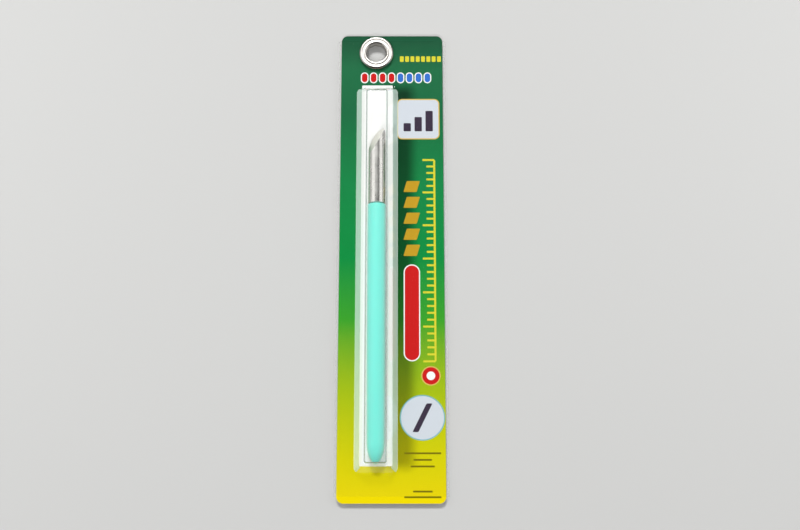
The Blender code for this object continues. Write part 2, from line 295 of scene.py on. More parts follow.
def new_material(name, colour, roughness, metallic=0.0):
    """A material with a plain Principled shader. Returns the material, its tree, the shader and its coordinates."""
    material = bpy.data.materials.new(name)
    material.use_nodes = True
    tree = material.node_tree
    shader = tree.nodes["Principled BSDF"]
    shader.inputs["Base Color"].default_value = (*colour, 1)
    shader.inputs["Roughness"].default_value = roughness
    shader.inputs["Metallic"].default_value = metallic
    return material, tree, shader, add_node(tree, "TexCoord").outputs["Object"]


def dress(tree, shader, height, strength, distance, **inputs):
    """Bumps the surface by a height, and feeds the shader's other inputs, with underscores for spaces."""
    bump = add_node(tree, "Bump", {"Height": height, "Strength": strength, "Distance": distance})
    for name, value in {"Normal": bump.outputs["Normal"], **inputs}.items():
        feed(tree, shader.inputs[name.replace("_", " ")], value)


# %% [markdown]
# ### Shared effects
# Drawn lines are what machining and handling leave on metal and plastic: noise that is stretched a long way in one
# direction. Uneven shine is what fingers, dust and cooling plastic leave: broad soft patches of more and less
# gloss. Both are used by several finishes, each with its own sizes.

# %% Drawn lines and uneven shine
FLOAT = "NodeSocketFloat"
VECTOR = "NodeSocketVector"
NOISE_SPAN = (0.35, 0.65)  # most of the soft noise lies between these two


def build_drawn_lines():
    """Fine lines. Density gives the number of lines a metre along each axis, so a low number stretches them."""
    tree, given, made = new_group("Drawn lines", {"Place": VECTOR, "Density": VECTOR}, {"Line": FLOAT})
    stretched = add_vector_math(tree, "MULTIPLY", given["Place"], given["Density"])
    feed(tree, made["Line"], add_noise(tree, stretched, scale=1.0, detail=3.0, roughness=0.6))
    return tree


def build_uneven_shine():
    """A roughness that wanders between two values in soft patches."""
    sockets = {"Place": VECTOR, "Patch Size": FLOAT, "Gloss": FLOAT, "Dull": FLOAT}
    tree, given, made = new_group("Uneven shine", sockets, {"Roughness": FLOAT})
    scale = add_math(tree, "DIVIDE", 1.0, given["Patch Size"])
    patches = add_noise(tree, given["Place"], scale, detail=4.0, roughness=0.55)
    feed(tree, made["Roughness"], remap(tree, patches, NOISE_SPAN, (given["Gloss"], given["Dull"])))
    return tree


drawn_lines = build_drawn_lines()
uneven_shine = build_uneven_shine()
print("groups:", [group.name for group in bpy.data.node_groups])

# %% [markdown]
# ## The card's print
# The card is coated board with a printed front: dark green at the top, fading through green to yellow at the
# bottom, with a white field under the tool. Everything else on it is plain shapes: rows of marks, a window, a disc,
# a scale of ticks and a band. Each shape is one use of the same group, which measures how far a point of the card
# lies from a box with rounded corners, and turns that into a mask with a clean edge.

# %% The mask of a printed shape
PRINT_EDGE = 0.00006  # how softly ink ends on board
IN_PLANE = (1, 1, 0)  # times this, a place loses its height


def build_printed_shape():
    """1 inside a rounded box on the card, 0 outside. Slant leans the box: how far it goes right for each step up.

    Edge is half the width of the step from 1 to 0.
    """
    sockets = dict.fromkeys(("Place", "Middle", "Half Size"), VECTOR)
    sockets |= dict.fromkeys(("Corner", "Slant", "Edge"), FLOAT)
    tree, given, made = new_group("Printed shape", sockets, {"Ink": FLOAT})
    x, y = split(tree, add_vector_math(tree, "SUBTRACT", given["Place"], given["Middle"]))[:2]
    upright = add_math(tree, "SUBTRACT", x, add_math(tree, "MULTIPLY", y, given["Slant"]))
    away = add_vector_math(tree, "ABSOLUTE", join(tree, upright, y))
    inner = add_vector_math(tree, "SUBTRACT", given["Half Size"], given["Corner"])
    outside = add_vector_math(tree, "MAXIMUM", add_vector_math(tree, "SUBTRACT", away, inner), (0, 0, 0))
    distance = add_vector_math(tree, "LENGTH", add_vector_math(tree, "MULTIPLY", outside, IN_PLANE))
    beyond = add_math(tree, "SUBTRACT", distance, given["Corner"])
    step = (add_math(tree, "MULTIPLY", given["Edge"], -1.0), given["Edge"])
    feed(tree, made["Ink"], remap(tree, beyond, step, (1.0, 0.0), interpolation_type="SMOOTHSTEP"))
    return tree


printed_shape = build_printed_shape()

# %% [markdown]
# ### The card's colours and shapes
# The places are measured from the middle of the card. The fade is a colour ramp along the card's length. Shapes are
# painted over it one after another, as screens of ink would be.

# %% Inks, and the white field
WHITE_INK = (0.955, 0.96, 0.935)
YELLOW_INK = (0.72, 0.66, 0.04)
ORANGE_INK = (0.56, 0.33, 0.02)
RED_INK = (0.62, 0.014, 0.013)
BLUE_INK = (0.04, 0.17, 0.6)
PALE_GREY_INK = (0.66, 0.7, 0.76)
WARM_RIM_INK = (0.72, 0.5, 0.12)
COOL_RIM_INK = (0.2, 0.48, 0.52)
DARK_VIOLET_INK = (0.05, 0.035, 0.06)
OLIVE_INK = (0.2, 0.17, 0.003)
# The fade, as (share of the card's length from the bottom, colour)
FADE_SHARES = (
    (0.0, (0.835, 0.67, 0.001)),
    (0.09, (0.68, 0.634, 0.001)),
    (0.22, (0.39, 0.52, 0.0065)),
    (0.37, (0.044, 0.355, 0.0233)),
    (0.5, (0.004, 0.264, 0.051)),
    (0.66, (0.0086, 0.236, 0.062)),
    (0.82, (0.0125, 0.1445, 0.053)),
    (0.92, (0.017, 0.155, 0.061)),
    (1.0, (0.0125, 0.081, 0.038)),
)

FIELD_HALF_WIDTH = 0.0071
FIELD_BOTTOM = -0.0919
FIELD_TOP = 0.083
SMALL_CORNER = 0.0004
# The white field has a broad soft printed shade to its right
SHADE_INK = (0, 0, 0)
SHADE_SHIFT = 0.0094
SHADE_DROP = 0.001
SHADE_EDGE = 0.0036
SHADE_DEPTHS = (0.45, 0.72)  # at the card's bottom, and from its middle up

# %% [markdown]
# Repeated marks need no copies. The height is wrapped, so that it runs from minus half a step to plus half a step
# over and over again, and one shape in the wrapped place prints the whole row. A second, plain shape says where the
# row starts and ends.

# %% Shapes, rows of marks, and printing one ink over another
def grow(half_size, margin):
    return [side + margin for side in half_size]


class Print:
    """A card's print while it is made: its node tree, the place on the card and the colour so far."""

    def __init__(self, tree, place):
        self.tree = tree
        self.place = place
        self.height = split(tree, place)[1]
        self.colour = WHITE_INK

    def shape(self, middle, half_size, corner=SMALL_CORNER, slant=0.0, edge=PRINT_EDGE, place=None):
        """The mask of one shape."""
        box = {"Middle": (*middle, 0), "Half_Size": (*half_size, 0), "Corner": corner, "Slant": slant, "Edge": edge}
        return use_group(self.tree, printed_shape, Place=place or self.place, **box)

    def row(self, first, step, count, half_size, corner=SMALL_CORNER, slant=0.0, across=False):
        """The mask of equal marks at even steps, up the card or across it. The first one is centred at first."""
        along, aside = (0, 1) if across else (1, 0)
        here = list(split(self.tree, self.place)[:2])
        from_first = add_math(self.tree, "SUBTRACT", here[along], first[along])
        here[along] = add_math(self.tree, "WRAP", from_first, step / 2, -step / 2)
        middle = [0.0, 0.0]
        middle[aside] = first[aside]
        marks = self.shape(middle, half_size, corner, slant, place=join(self.tree, *here))
        row_middle, reach = list(first), grow(half_size, abs(slant) * step + SMALL_CORNER)
        row_middle[along] += (count - 1) * step / 2
        reach[along] = count * step / 2
        return add_math(self.tree, "MULTIPLY", marks, self.shape(row_middle, reach))

    def ink(self, ink, *masks):
        """Lays one ink over what is printed already, wherever one of the masks is 1."""
        mask = masks[0]
        for other in masks[1:]:
            mask = add_math(self.tree, "MAXIMUM", mask, other)
        self.colour = blend(self.tree, mask, self.colour, ink)

    def rimmed(self, middle, half_size, corner, rim_ink, ink):
        """Prints a shape with a rim of another ink round it."""
        self.ink(rim_ink, self.shape(middle, grow(half_size, RIM_WIDTH), corner + RIM_WIDTH))
        self.ink(ink, self.shape(middle, half_size, corner))


# %% [markdown]
# ### What is printed
# Beside the white field the card carries plain motifs only, from top to bottom: a row of yellow marks, a row of red
# and blue pills with white rims, a square window with three bars, a long tick scale with orange blocks and a red band
# beside it, a ring, a disc with a slanted bar, and some fine rules. Each motif is a place and a half size, so it can
# be moved by changing one line.

# %% Motifs
RIM_WIDTH = 0.0005

YELLOW_MARKS = {"first": (0.0046, 0.0962), "step": 0.0025, "count": 8, "across": True, "half_size": (0.0009, 0.0014)}
RED_PILLS = {"first": (-0.0128, 0.0868), "step": 0.0042, "count": 4, "across": True}
BLUE_PILLS = RED_PILLS | {"first": (0.004, 0.0868)}
PILL_HALF = (0.0013, 0.0022)

# Shapes with a rim, as (middle, half size, corner, rim's ink, ink)
WINDOW = ((0.0122, 0.0664), (0.0094, 0.0094), 0.002, WARM_RIM_INK, PALE_GREY_INK)
BAND = ((0.0091, -0.0246), (0.0032, 0.0214), 0.0032, WHITE_INK, RED_INK)
RING = ((0.0174, -0.0529), (0.0038, 0.0038), 0.0038, WARM_RIM_INK, RED_INK)
DISC = ((0.0136, -0.0712), (0.0094, 0.0094), 0.0094, COOL_RIM_INK, PALE_GREY_INK)

WINDOW_BARS = ((-0.0051, 0.002), (0.0, 0.0035), (0.0051, 0.005))  # (place across the window, half height)
WINDOW_BAR_HALF_WIDTH = 0.0017
WINDOW_BAR_FOOT = -0.006
RING_HOLE_RADIUS = 0.0019
DISC_BAR_HALF = (0.0013, 0.0062)
DISC_BAR_SLANT = 0.5

SCALE_X = 0.0195  # the long line of the tick scale
SCALE_BOTTOM = -0.0465
SCALE_STEP = 0.0031
SCALE_STEPS = 30
TICKS = ((0.0036, 1), (0.0054, 5))  # (length, how many steps from one to the next)
LINE_HALF_WIDTH = 0.00045
LINE_CORNER = 0.0002
BLOCKS = {"first": (0.0091, 0.0038), "step": 0.0075, "count": 5, "half_size": (0.003, 0.0026), "slant": 0.3}

# The fine rules at the bottom, as (height on the card, half length)
RULES = ((-0.0865, 0.008), (-0.0893, 0.004), (-0.0921, 0.0052), (-0.1027, 0.0042), (-0.1051, 0.008))
RULE_X = 0.0136
RULE_HALF_HEIGHT = 0.0004


def print_fade(card):
    """The colour that runs from the card's top to its bottom."""
    share = remap(card.tree, card.height, (-CARD_LENGTH / 2, CARD_LENGTH / 2))
    fade = add_node(card.tree, "ValToRGB", {0: share})
    ramp = fade.color_ramp
    while len(ramp.elements) < len(FADE_SHARES):
        ramp.elements.new(1.0)
    for stop, (position, colour) in zip(ramp.elements, FADE_SHARES):
        stop.position = position
        stop.color = (*colour, 1)
    card.colour = fade.outputs["Color"]


def print_white_field(card):
    """The field under the tool, with its soft shade."""
    middle = (TOOL_X, (FIELD_BOTTOM + FIELD_TOP) / 2)
    half = (FIELD_HALF_WIDTH, (FIELD_TOP - FIELD_BOTTOM) / 2)
    shade = card.shape((middle[0] + SHADE_SHIFT, middle[1] - SHADE_DROP), half, SHADE_EDGE, edge=SHADE_EDGE)
    depth = remap(card.tree, card.height, (-CARD_LENGTH / 2, 0.0), SHADE_DEPTHS)
    card.ink(SHADE_INK, add_math(card.tree, "MULTIPLY", shade, depth))
    card.ink(WHITE_INK, card.shape(middle, half))


def print_pills(card, row, ink):
    card.ink(WHITE_INK, card.row(**row, half_size=grow(PILL_HALF, RIM_WIDTH), corner=PILL_HALF[0] + RIM_WIDTH))
    card.ink(ink, card.row(**row, half_size=PILL_HALF, corner=PILL_HALF[0]))


def print_scale(card):
    """One long line with short ticks to its left, and a longer one for each group."""
    half_length = SCALE_STEP * SCALE_STEPS / 2
    masks = [card.shape((SCALE_X, SCALE_BOTTOM + half_length), (LINE_HALF_WIDTH, half_length))]
    for length, every in TICKS:
        first, half = (SCALE_X - length / 2, SCALE_BOTTOM), (length / 2, LINE_HALF_WIDTH)
        masks.append(card.row(first, SCALE_STEP * every, SCALE_STEPS // every + 1, half, LINE_CORNER))
    card.ink(YELLOW_INK, *masks)


def print_card(tree, place):
    """All the inks, one over another. Returns the socket with the final colour."""
    card = Print(tree, place)
    print_fade(card)
    print_white_field(card)
    card.ink(YELLOW_INK, card.row(**YELLOW_MARKS))
    print_pills(card, RED_PILLS, RED_INK)
    print_pills(card, BLUE_PILLS, BLUE_INK)

    card.rimmed(*WINDOW)
    x, y = WINDOW[0]
    places = [((x + across, y + WINDOW_BAR_FOOT + half), (WINDOW_BAR_HALF_WIDTH, half)) for across, half in WINDOW_BARS]
    card.ink(DARK_VIOLET_INK, *(card.shape(*place) for place in places))

    print_scale(card)
    card.ink(ORANGE_INK, card.row(**BLOCKS))
    card.rimmed(*BAND)
    card.rimmed(*RING)
    card.ink(WHITE_INK, card.shape(RING[0], (RING_HOLE_RADIUS, RING_HOLE_RADIUS), RING_HOLE_RADIUS))
    card.rimmed(*DISC)
    card.ink(DARK_VIOLET_INK, card.shape(DISC[0], DISC_BAR_HALF, slant=DISC_BAR_SLANT))
    rules = [card.shape((RULE_X, height), (half, RULE_HALF_HEIGHT), LINE_CORNER) for height, half in RULES]
    card.ink(OLIVE_INK, *rules)
    return card.colour


# %% [markdown]
# ### The printed face
# Coated board has a little gloss of its own, a barely uneven shine, and a grain that shows as a faint bump.

# %% Make the printed face's material
def make_printed_front():
    material, tree, shader, place = new_material("Printed coated board", WHITE_INK, roughness=0.2)
    colour = print_card(tree, place)
    shine = use_group(tree, uneven_shine, Place=place, Patch_Size=0.012, Gloss=0.08, Dull=0.13)
    grain = add_noise(tree, place, scale=1400.0, detail=3.0)
    dress(tree, shader, grain, strength=0.2, distance=0.00002, Base_Color=colour, Roughness=shine)
    return material


printed_front = make_printed_front()
print("the print uses", len(printed_front.node_tree.nodes), "nodes")

# %% [markdown]
# ### Bare board
# The back of such a card is unprinted grey board with pressed fibres in it, and its cut edge shows the paler pulp
# between the two faces, in thin layers.

# %% Make the bare board and the cut edge
def make_board_back():
    material, tree, shader, place = new_material("Grey board back", (0.5, 0.49, 0.46), roughness=0.85)
    fibres = use_group(tree, drawn_lines, Place=place, Density=(2600, 500, 1))
    crossed = use_group(tree, drawn_lines, Place=place, Density=(420, 2300, 1))
    both = add_math(tree, "ADD", fibres, crossed)
    colour = blend(tree, remap(tree, both, source=(0.6, 1.4)), low=(0.36, 0.35, 0.325), high=(0.62, 0.61, 0.58))
    dress(tree, shader, both, strength=0.35, distance=0.00004, Base_Color=colour)
    return material


def make_board_edge():
    material, tree, shader, place = new_material("Cut board edge", (0.72, 0.71, 0.66), roughness=0.8)
    layers = use_group(tree, drawn_lines, Place=place, Density=(300, 300, 12000))
    colour = blend(tree, layers, low=(0.58, 0.56, 0.5), high=(0.84, 0.83, 0.79))
    dress(tree, shader, layers, strength=0.4, distance=0.00003, Base_Color=colour)
    return material


board_back = make_board_back()
board_edge = make_board_edge()

# %% [markdown]
# ## The card
# A die stamps the card out of a printed sheet of board, with rounded corners and a clear hole for the eyelet. A
# plane is scaled to size and its corner points are bevelled, and its face is then traded for the outline alone. A
# second outline just inside it is bridged to it, and so are two circles round the hole, which gives each rim a
# narrow band of neat squares. Fill spans what lies between the bands, and an extrusion gives the board's thickness.
# A very small bevel on the upper rims is where the die presses the board down. The bands are there for it: it
# would fold the long thin triangles of the fill over. The smoothing angle is small enough to keep the bevel out of
# it, because a smoothed rim would bend the shine of the whole flat front.

# %% Stamp out the card
SEAT_GAP = 0.0003  # air that the frame leaves between two pieces that touch
EYELET_BORE_RADIUS = 0.0045
EYELET_METAL = 0.0003
CLEAR_HOLE_RADIUS = EYELET_BORE_RADIUS + EYELET_METAL + SEAT_GAP
EYELET_MIDDLE = Vector((EYELET_X, EYELET_Y))
CARD_CORNER = 0.003
CORNER_SEGMENTS = 10
PRESSED_RIM = 0.00008
SUPPORT = 0.0003  # width of the bands and rings that keep flat areas flat
SHARP_ANGLE = math.radians(60)  # faces that meet at more than this make a rim
LEVEL = 0.9  # up part of the normal, from which a face counts as level
UPRIGHT = 0.5  # up part of the normal, up to which a face counts as upright


def add_outline(corner_low, corner_high, height, corner_radius=0, segments=1):
    """In edit mode, adds the closed outline of a rounded rectangle, as edges only, and leaves it selected."""
    middle = (corner_low + corner_high) / 2
    sides = corner_high - corner_low
    centre = (middle.x, middle.y, height)
    bpy.ops.mesh.primitive_plane_add(size=1, location=centre)
    bpy.ops.transform.resize(value=(sides.x, sides.y, 1), center_override=centre)
    if corner_radius:
        bpy.ops.mesh.bevel(
            offset_type="OFFSET", offset=corner_radius, segments=segments, affect="VERTICES", clamp_overlap=False
        )
    bpy.ops.mesh.delete(type="ONLY_FACE")


def paint_faces(piece, material, test):
    """Adds a material to the piece and gives it to the faces that pass the test."""
    choose(piece)
    piece.data.materials.append(material)
    bpy.ops.object.mode_set(mode="EDIT")
    select("FACE", test)
    piece.active_material_index = len(piece.data.materials) - 1
    bpy.ops.object.material_slot_assign()
    leave_edit_mode()


def is_between_bands(edge):
    """True for the inner edges of the two bands, which the card's large flat area spans."""
    inside = all(
        card_low.x + HAIR < vert.co.x < card_high.x - HAIR and card_low.y + HAIR < vert.co.y < card_high.y - HAIR
        for vert in edge.verts
    )
    from_hole = (edge.verts[0].co.xy - EYELET_MIDDLE).length
    return inside and edge.is_boundary and from_hole > CLEAR_HOLE_RADIUS + HAIR


def is_top_rim(edge):
    """True for a sharp edge of the card's front."""
    is_sharp = len(edge.link_faces) == 2 and edge.calc_face_angle(0) > SHARP_ANGLE
    return is_sharp and edge.verts[0].co.z > card_high.z - HAIR


def build_printed_card():
    piece = start_circle("printed_card", CLEAR_HOLE_RADIUS)
    bpy.ops.mesh.primitive_circle_add(vertices=ROUND_SIDES, radius=CLEAR_HOLE_RADIUS + SUPPORT)
    select_all()
    move(EYELET_X, EYELET_Y, card_high.z)
    bpy.ops.mesh.bridge_edge_loops()
    for inset in (0, SUPPORT):
        select_all("DESELECT")
        step = Vector((inset, inset, 0))
        add_outline(card_low + step, card_high - step, card_high.z, CARD_CORNER - inset, CORNER_SEGMENTS)
    select("EDGE", lambda edge: edge.is_wire)
    bpy.ops.mesh.bridge_edge_loops()
    select("EDGE", is_between_bands)
    bpy.ops.mesh.fill(use_beauty=True)
    select_all()
    extrude(z=card_low.z - card_high.z)
    turn_outwards()
    select("EDGE", is_top_rim)
    bpy.ops.mesh.bevel(offset=PRESSED_RIM, segments=2, affect="EDGES")
    leave_edit_mode()
    piece.data.materials.append(printed_front)
    paint_faces(piece, board_back, lambda face: face.normal.z < -LEVEL)
    paint_faces(piece, board_edge, lambda face: abs(face.normal.z) < UPRIGHT)
    return piece


finish_piece(build_printed_card(), "pack", "backing_card", smooth_degrees=12)

# %% [markdown]
# ## The clear sheet
# One thin sheet of clear plastic is heated and drawn over a form, which raises the long dome. Its two long sides
# are then folded round the card's edges and back behind it, so that the card slides in and stays. The outline is
# drawn flat, with the dome's foot and the eyelet's hole in it. The dome is raised from its foot, ring by ring, up a
# section that is made of a fillet, a leaning wall and another fillet. At each ring the four rounded corners are
# scaled and moved on their own, because they tighten towards the top. A last ring just inside each rounding keeps
# the shading of the large flat areas flat.

# %% Sizes of the sheet
SHEET_THICKNESS = 0.0004
SHEET_END_MARGIN = 0.003
SHEET_TOP = card_high.z + SEAT_GAP + SHEET_THICKNESS
RAIL_RADIUS = SHEET_TOP / 2
RAIL_FOLD_X = sheet_high.x - RAIL_RADIUS
RAIL_STRIP_WIDTH = 0.005
RAIL_STEPS = 16  # flat steps in half a turn
SHEET_HALF_LENGTH = CARD_LENGTH / 2 - SHEET_END_MARGIN
SHEEN_HEIGHT = 0.0042  # up to here the dome's long walls are milky, with their painted sheen
LEAST_TILT = 0.5  # a face of the foot's rounding counts as wall once it leans this much
LEAST_LEAN = 0.47  # up part of the normal, just above that of the walls
FLAT_ENOUGH = 0.985  # up part of the normal, from which a face belongs to the flat crown

DOME_TOP = sheet_high.z
DOME_HEIGHT = DOME_TOP - SHEET_TOP
DOME_DRAFT_RUN = 0.0047
DOME_SIDE_ROOM = 0.0005
DOME_TIP_ROOM = 0.019
DOME_NOSE_ROOM = 0.002
DOME_FOOT_CORNER = 0.0028
DOME_CROWN_CORNER = 0.001
FOOT_FILLET = 0.0009
CROWN_FILLET = 0.0008
FOOT_STEPS = 10
CROWN_STEPS = 8
CORNER_STEPS = 8

WALL_ANGLE = math.atan2(DOME_HEIGHT, DOME_DRAFT_RUN)
END_REACH = (TOOL_Z - SHEET_TOP) / math.tan(WALL_ANGLE) + SHEET_THICKNESS / math.sin(WALL_ANGLE)
DOME_LOW = Vector((
    TOOL_X - GRIP_RADIUS - DOME_SIDE_ROOM - DOME_DRAFT_RUN,
    grip_low.y - DOME_NOSE_ROOM - END_REACH,
))
DOME_HIGH = Vector((2 * TOOL_X - DOME_LOW.x, TIP_Y + DOME_TIP_ROOM + END_REACH))
DOME_MIDDLE = (DOME_LOW + DOME_HIGH) / 2
print("dome, length and width in mm:", [round(side * 1000, 1) for side in reversed(DOME_HIGH - DOME_LOW)])
print("its walls lean in from", round(math.degrees(WALL_ANGLE), 1), "degrees")


# %% The dome's section and its rings
def fillet(corner, turn_start, turn_end, radius, steps):
    """Arc that rounds a corner of the section, between two directions given as angles."""
    side = math.copysign(math.pi / 2, turn_end - turn_start)
    reach = radius * math.tan(abs(turn_end - turn_start) / 2)
    x = corner[0] - reach * math.cos(turn_start) + radius * math.cos(turn_start + side)
    y = corner[1] - reach * math.sin(turn_start) + radius * math.sin(turn_start + side)
    return arc(x, y, radius, math.degrees(turn_start - side), math.degrees(turn_end - side), steps)


def dome_section():
    """(inset, height) pairs up one wall, from the flat sheet to the flat crown."""
    foot = fillet((0, 0), 0, WALL_ANGLE, FOOT_FILLET, FOOT_STEPS)
    crown = fillet((DOME_DRAFT_RUN, DOME_HEIGHT), WALL_ANGLE, 0, CROWN_FILLET, CROWN_STEPS)
    before = (foot[0][0] - SUPPORT, 0.0)
    sheen_end = (SHEEN_HEIGHT / math.tan(WALL_ANGLE), SHEEN_HEIGHT)
    after = (crown[-1][0] + SUPPORT, DOME_HEIGHT)
    return [before, *foot, sheen_end, *crown, after]


def corner_at(inset):
    """Radius of the outline's corners at this inset, and the distances of their middles from the dome's middle."""
    share = min(inset / DOME_DRAFT_RUN, 1)
    radius = DOME_FOOT_CORNER + (DOME_CROWN_CORNER - DOME_FOOT_CORNER) * share
    half = (DOME_HIGH - DOME_LOW) / 2
    return radius, half.x - inset - radius, half.y - inset - radius


def at_corner(vert, side_x, side_y):
    return (vert.co.x - DOME_MIDDLE.x) * side_x > 0 and (vert.co.y - DOME_MIDDLE.y) * side_y > 0


def raise_ring(inset, height, next_inset, next_height):
    """Extrudes the selected ring to the next height, then fits each of its corners to the next inset."""
    extrude(z=next_height - height)
    shape = bmesh.from_edit_mesh(bpy.context.edit_object.data)
    shape.verts.index_update()
    ring = {vert.index for vert in shape.verts if vert.select}
    radius, x, y = corner_at(inset)
    next_radius, next_x, next_y = corner_at(next_inset)
    growth = next_radius / radius
    for side_x in (-1, 1):
        for side_y in (-1, 1):
            select("VERT", lambda vert: vert.index in ring and at_corner(vert, side_x, side_y))
            centre = (DOME_MIDDLE.x + side_x * x, DOME_MIDDLE.y + side_y * y, SHEET_TOP + next_height)
            bpy.ops.transform.resize(value=(growth, growth, 1), center_override=centre)
            move(side_x * (next_x - x), side_y * (next_y - y))
    select("VERT", lambda vert: vert.index in ring)


# %% Raise the dome, fill the sheet and fold its rails
def raise_dome():
    section = dome_section()
    outset = Vector((section[0][0],) * 2)
    low, high = DOME_LOW + outset, DOME_HIGH - outset
    add_outline(low, high, SHEET_TOP, corner_at(section[0][0])[0], CORNER_STEPS)
    select("VERT", lambda vert: low.x - HAIR < vert.co.x < high.x + HAIR and low.y - HAIR < vert.co.y < high.y + HAIR)
    for (inset, height), (next_inset, next_height) in zip(section, section[1:]):
        raise_ring(inset, height, next_inset, next_height)
    bpy.ops.mesh.edge_face_add()


def is_free_edge(edge, x, z):
    """True for a rim edge that runs along the sheet at this x and z."""
    at_place = all(abs(vert.co.x - x) < HAIR and abs(vert.co.z - z) < HAIR for vert in edge.verts)
    return at_place and len(edge.link_faces) == 1


def fold_rail(side):
    """Spins the sheet's long edge half a turn round the card's edge, and runs it back as a strip behind."""
    select("EDGE", lambda edge: is_free_edge(edge, side * (RAIL_FOLD_X - SUPPORT), SHEET_TOP))
    extrude(side * SUPPORT)
    bpy.ops.mesh.spin(
        steps=RAIL_STEPS, angle=-math.pi, center=(side * RAIL_FOLD_X, 0, RAIL_RADIUS), axis=(0, side, 0)
    )
    select("EDGE", lambda edge: is_free_edge(edge, side * RAIL_FOLD_X, 0))
    for run in (SUPPORT, RAIL_STRIP_WIDTH - SUPPORT):
        extrude(-side * run)


def build_clear_sheet():
    piece = start_circle("clear_sheet", CLEAR_HOLE_RADIUS)
    move(EYELET_X, EYELET_Y, SHEET_TOP)
    select_all("DESELECT")
    corner = Vector((RAIL_FOLD_X - SUPPORT, SHEET_HALF_LENGTH))
    add_outline(-corner, corner, SHEET_TOP)
    select_all("DESELECT")
    raise_dome()
    select("EDGE", lambda edge: len(edge.link_faces) < 2 and abs(edge.verts[0].co.z - SHEET_TOP) < HAIR)
    bpy.ops.mesh.fill(use_beauty=True)
    fold_rail(1)
    fold_rail(-1)
    select_all()
    bpy.ops.mesh.remove_doubles(threshold=HAIR / 10)
    turn_outwards()
    thicken(piece, SHEET_THICKNESS)
    return piece


clear_sheet = build_clear_sheet()
print("lowest point of the sheet in mm:", round(min(v.co.z for v in clear_sheet.data.vertices) * 1000, 3))

# %% [markdown]
# ### Clear plastic
# The sheet is real glass-like plastic to the camera: it bends light, and it shines where its roundings catch a lamp.
# A lamp's light, though, would have to find its way through two bent surfaces by chance, which renders as noise. So
# for shadow rays, and for rays that have been reflected by the card or the tool, the material is simply
# transparent. Both have to be let through, because otherwise some light would be counted twice. The plastic takes
# more light where a ray meets it at a slant, as real plastic does, and that gives the dome its soft shadow on the
# card. A second, milky material holds the foot of the dome's long walls, and its whitish share is a painted sheen:
# it stands in for the bright bands that the side lamps' reflections draw along those walls. A third, darker one is
# for the tight rounding at the crown, and its darker tint is painted shade: it draws the dark line all round the
# dome's flat top, which a real sheet gets from light that its rounding sends off to the side.

# %% Make the clear plastic
def make_sheet_plastic(name, colour, roughness, clearness, straight, aslant):
    """Clear plastic. The last two are the shares of a lamp's light that pass each surface, straight and aslant."""
    material, tree, shader, place = new_material(name, colour, roughness)
    waves = add_noise(tree, place, scale=60.0, detail=1.0)
    dress(tree, shader, waves, strength=0.1, distance=0.00003, Transmission_Weight=clearness, IOR=1.5)
    facing = add_node(tree, "LayerWeight", {"Blend": 0.5}).outputs["Facing"]
    loss = blend(tree, add_math(tree, "POWER", facing, SLANT_POWER), [straight] * 3, [aslant] * 3)
    let_through = add_node(tree, "BsdfTransparent", {"Color": loss}).outputs["BSDF"]
    rays = add_node(tree, "LightPath").outputs
    passing = add_math(tree, "MAXIMUM", rays["Is Shadow Ray"], rays["Is Reflection Ray"])
    mix = add_node(tree, "MixShader", {0: passing, 1: shader.outputs["BSDF"], 2: let_through})
    feed(tree, tree.nodes["Material Output"].inputs["Surface"], mix.outputs[0])
    return material


def is_crown_edge(face):
    """True for the rounding between the dome's walls and its flat crown, on both sides of the sheet."""
    is_high = face.calc_center_median().z > DOME_TOP - CROWN_FILLET - SHEET_THICKNESS
    return is_high and LEAST_LEAN < abs(face.normal.z) < FLAT_ENOUGH


def is_sheen_wall(face):
    """True for the foot of the dome's long walls, which gets the milky plastic and its painted sheen."""
    centre = face.calc_center_median()
    on_wall = SHEET_TOP - SHEET_THICKNESS + HAIR < centre.z < SHEET_TOP + SHEEN_HEIGHT
    faces_sideways = abs(face.normal.x) > max(abs(face.normal.y), LEAST_TILT)
    return on_wall and faces_sideways and abs(centre.x - DOME_MIDDLE.x) < DOME_HIGH.x - DOME_MIDDLE.x + SUPPORT


SLANT_POWER = 4.0  # the higher, the closer to the surface a ray has to run before it loses light
CLEAR = {"colour": (0.99, 1.0, 0.995), "roughness": 0.03, "clearness": 1.0, "straight": 1.0, "aslant": 0.75}
# The milky plastic's whitish diffuse share is a painted sheen, standing in for the side lamps' reflections on the long
# walls.
MILKY_SHEEN = {"colour": (0.83, 1.0, 0.91), "roughness": 0.12, "clearness": 0.6, "straight": 0.98, "aslant": 0.85}
# The darker tint of this plastic is painted shade: the dark line round the crown's rounding.
CROWN_PAINTED_SHADE = {"colour": (0.5, 0.6, 0.57), "roughness": 0.03, "clearness": 1.0, "straight": 0.85, "aslant": 0.55}

clear_sheet.data.materials.append(make_sheet_plastic("Clear blister plastic", **CLEAR))
paint_faces(clear_sheet, make_sheet_plastic("Milky blister plastic with painted sheen", **MILKY_SHEEN), is_sheen_wall)
paint_faces(clear_sheet, make_sheet_plastic("Crown blister plastic with painted shade", **CROWN_PAINTED_SHADE), is_crown_edge)
finish_piece(clear_sheet, "pack", "slide_blister", smooth_degrees=25)

# %% [markdown]
# ## The eyelet and its ring
# A punch pushes a thin tube of nickel-plated metal through the sheet and the card. Its flange stays on the front,
# and its end is rolled over a flat ring at the back. The flange isn't plain: it rises from the bore to a rounded
# inner lip, dips, and rises again to a broad outer band. A smooth curve through a few points of that section gives
# the rings, and Solidify gives the metal its thickness.

# %% Turn the eyelet and its ring
BACK_LIP_WIDTH = 0.0014
BACK_LIP_ROUNDING = 0.0004
CURVE_STEPS = 5
RING_CHAMFER = 0.0001
CHAMFER_STEPS = 3
FLANGE_WIDTH = FLANGE_RADIUS - EYELET_BORE_RADIUS
# (share of the flange's width out from the bore, share of its height above the rim)
FLANGE_SECTION = (
    (0.0, 0.0),
    (0.04, 0.55),
    (0.14, 0.9),
    (0.27, 1.0),
    (0.4, 0.91),
    (0.52, 0.87),
    (0.66, 0.93),
    (0.8, 0.95),
    (0.91, 0.75),
    (0.98, 0.38),
    (1.0, 0.0),
)


